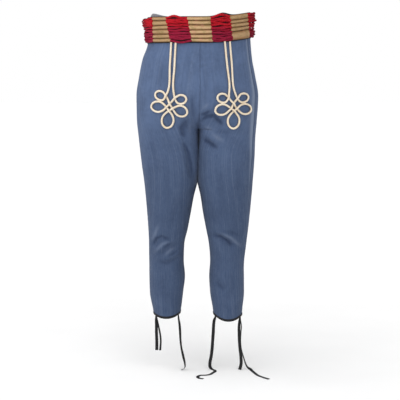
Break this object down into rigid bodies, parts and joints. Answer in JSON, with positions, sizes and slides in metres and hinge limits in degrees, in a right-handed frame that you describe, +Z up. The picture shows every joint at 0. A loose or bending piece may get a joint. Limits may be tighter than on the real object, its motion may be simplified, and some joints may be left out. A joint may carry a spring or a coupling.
{
  "type": "military trousers with a barrel sash",
  "caption": "High-waisted tapered trousers with knotted braid, a barrel sash and ribbon ties at the hems, hollow, as filled out.",
  "frame": {"origin": "middle of the waist, at mid height of the sash, where the wearer holds the trousers up", "axes": "+Z up, -Y to the front, +X to the wearer's left"},
  "size_m": [0.4376, 0.2953, 1.1942],
  "materials": {
    "cloth": "matt wool twill, pale blue",
    "waistband": "matt, grey blue",
    "black": "matt black tape",
    "braid": "matt twisted cord, cream",
    "barrel": "woven sleeve, old gold",
    "strands": "wool cords, crimson"
  },
  "bodies": {
    "root": {"front_right": "cloth", "back_right": "cloth", "hem_binding_right": "black", "braid_right": "braid", "front_left": "cloth", "back_left": "cloth", "hem_binding_left": "black", "braid_left": "braid", "waistband": "waistband", "sash_backing": "black", "sash_barrel_front": "barrel", "sash_barrel_right": "barrel", "sash_barrel_left": "barrel", "sash_barrel_back_right": "barrel", "sash_barrel_back_left": "barrel", "sash_barrel_back": "barrel", "sash_strands_front_right": "strands", "sash_strands_front_left": "strands", "sash_strands_side_right": "strands", "sash_strands_side_left": "strands", "sash_strands_back_right": "strands", "sash_strands_back_left": "strands", "ribbon_right_outer_front": "black", "ribbon_right_outer_back": "black", "ribbon_right_inner": "black", "ribbon_left_inner": "black", "ribbon_left_outer_front": "black", "ribbon_left_outer_back": "black"}
  },
  "joints": []
}
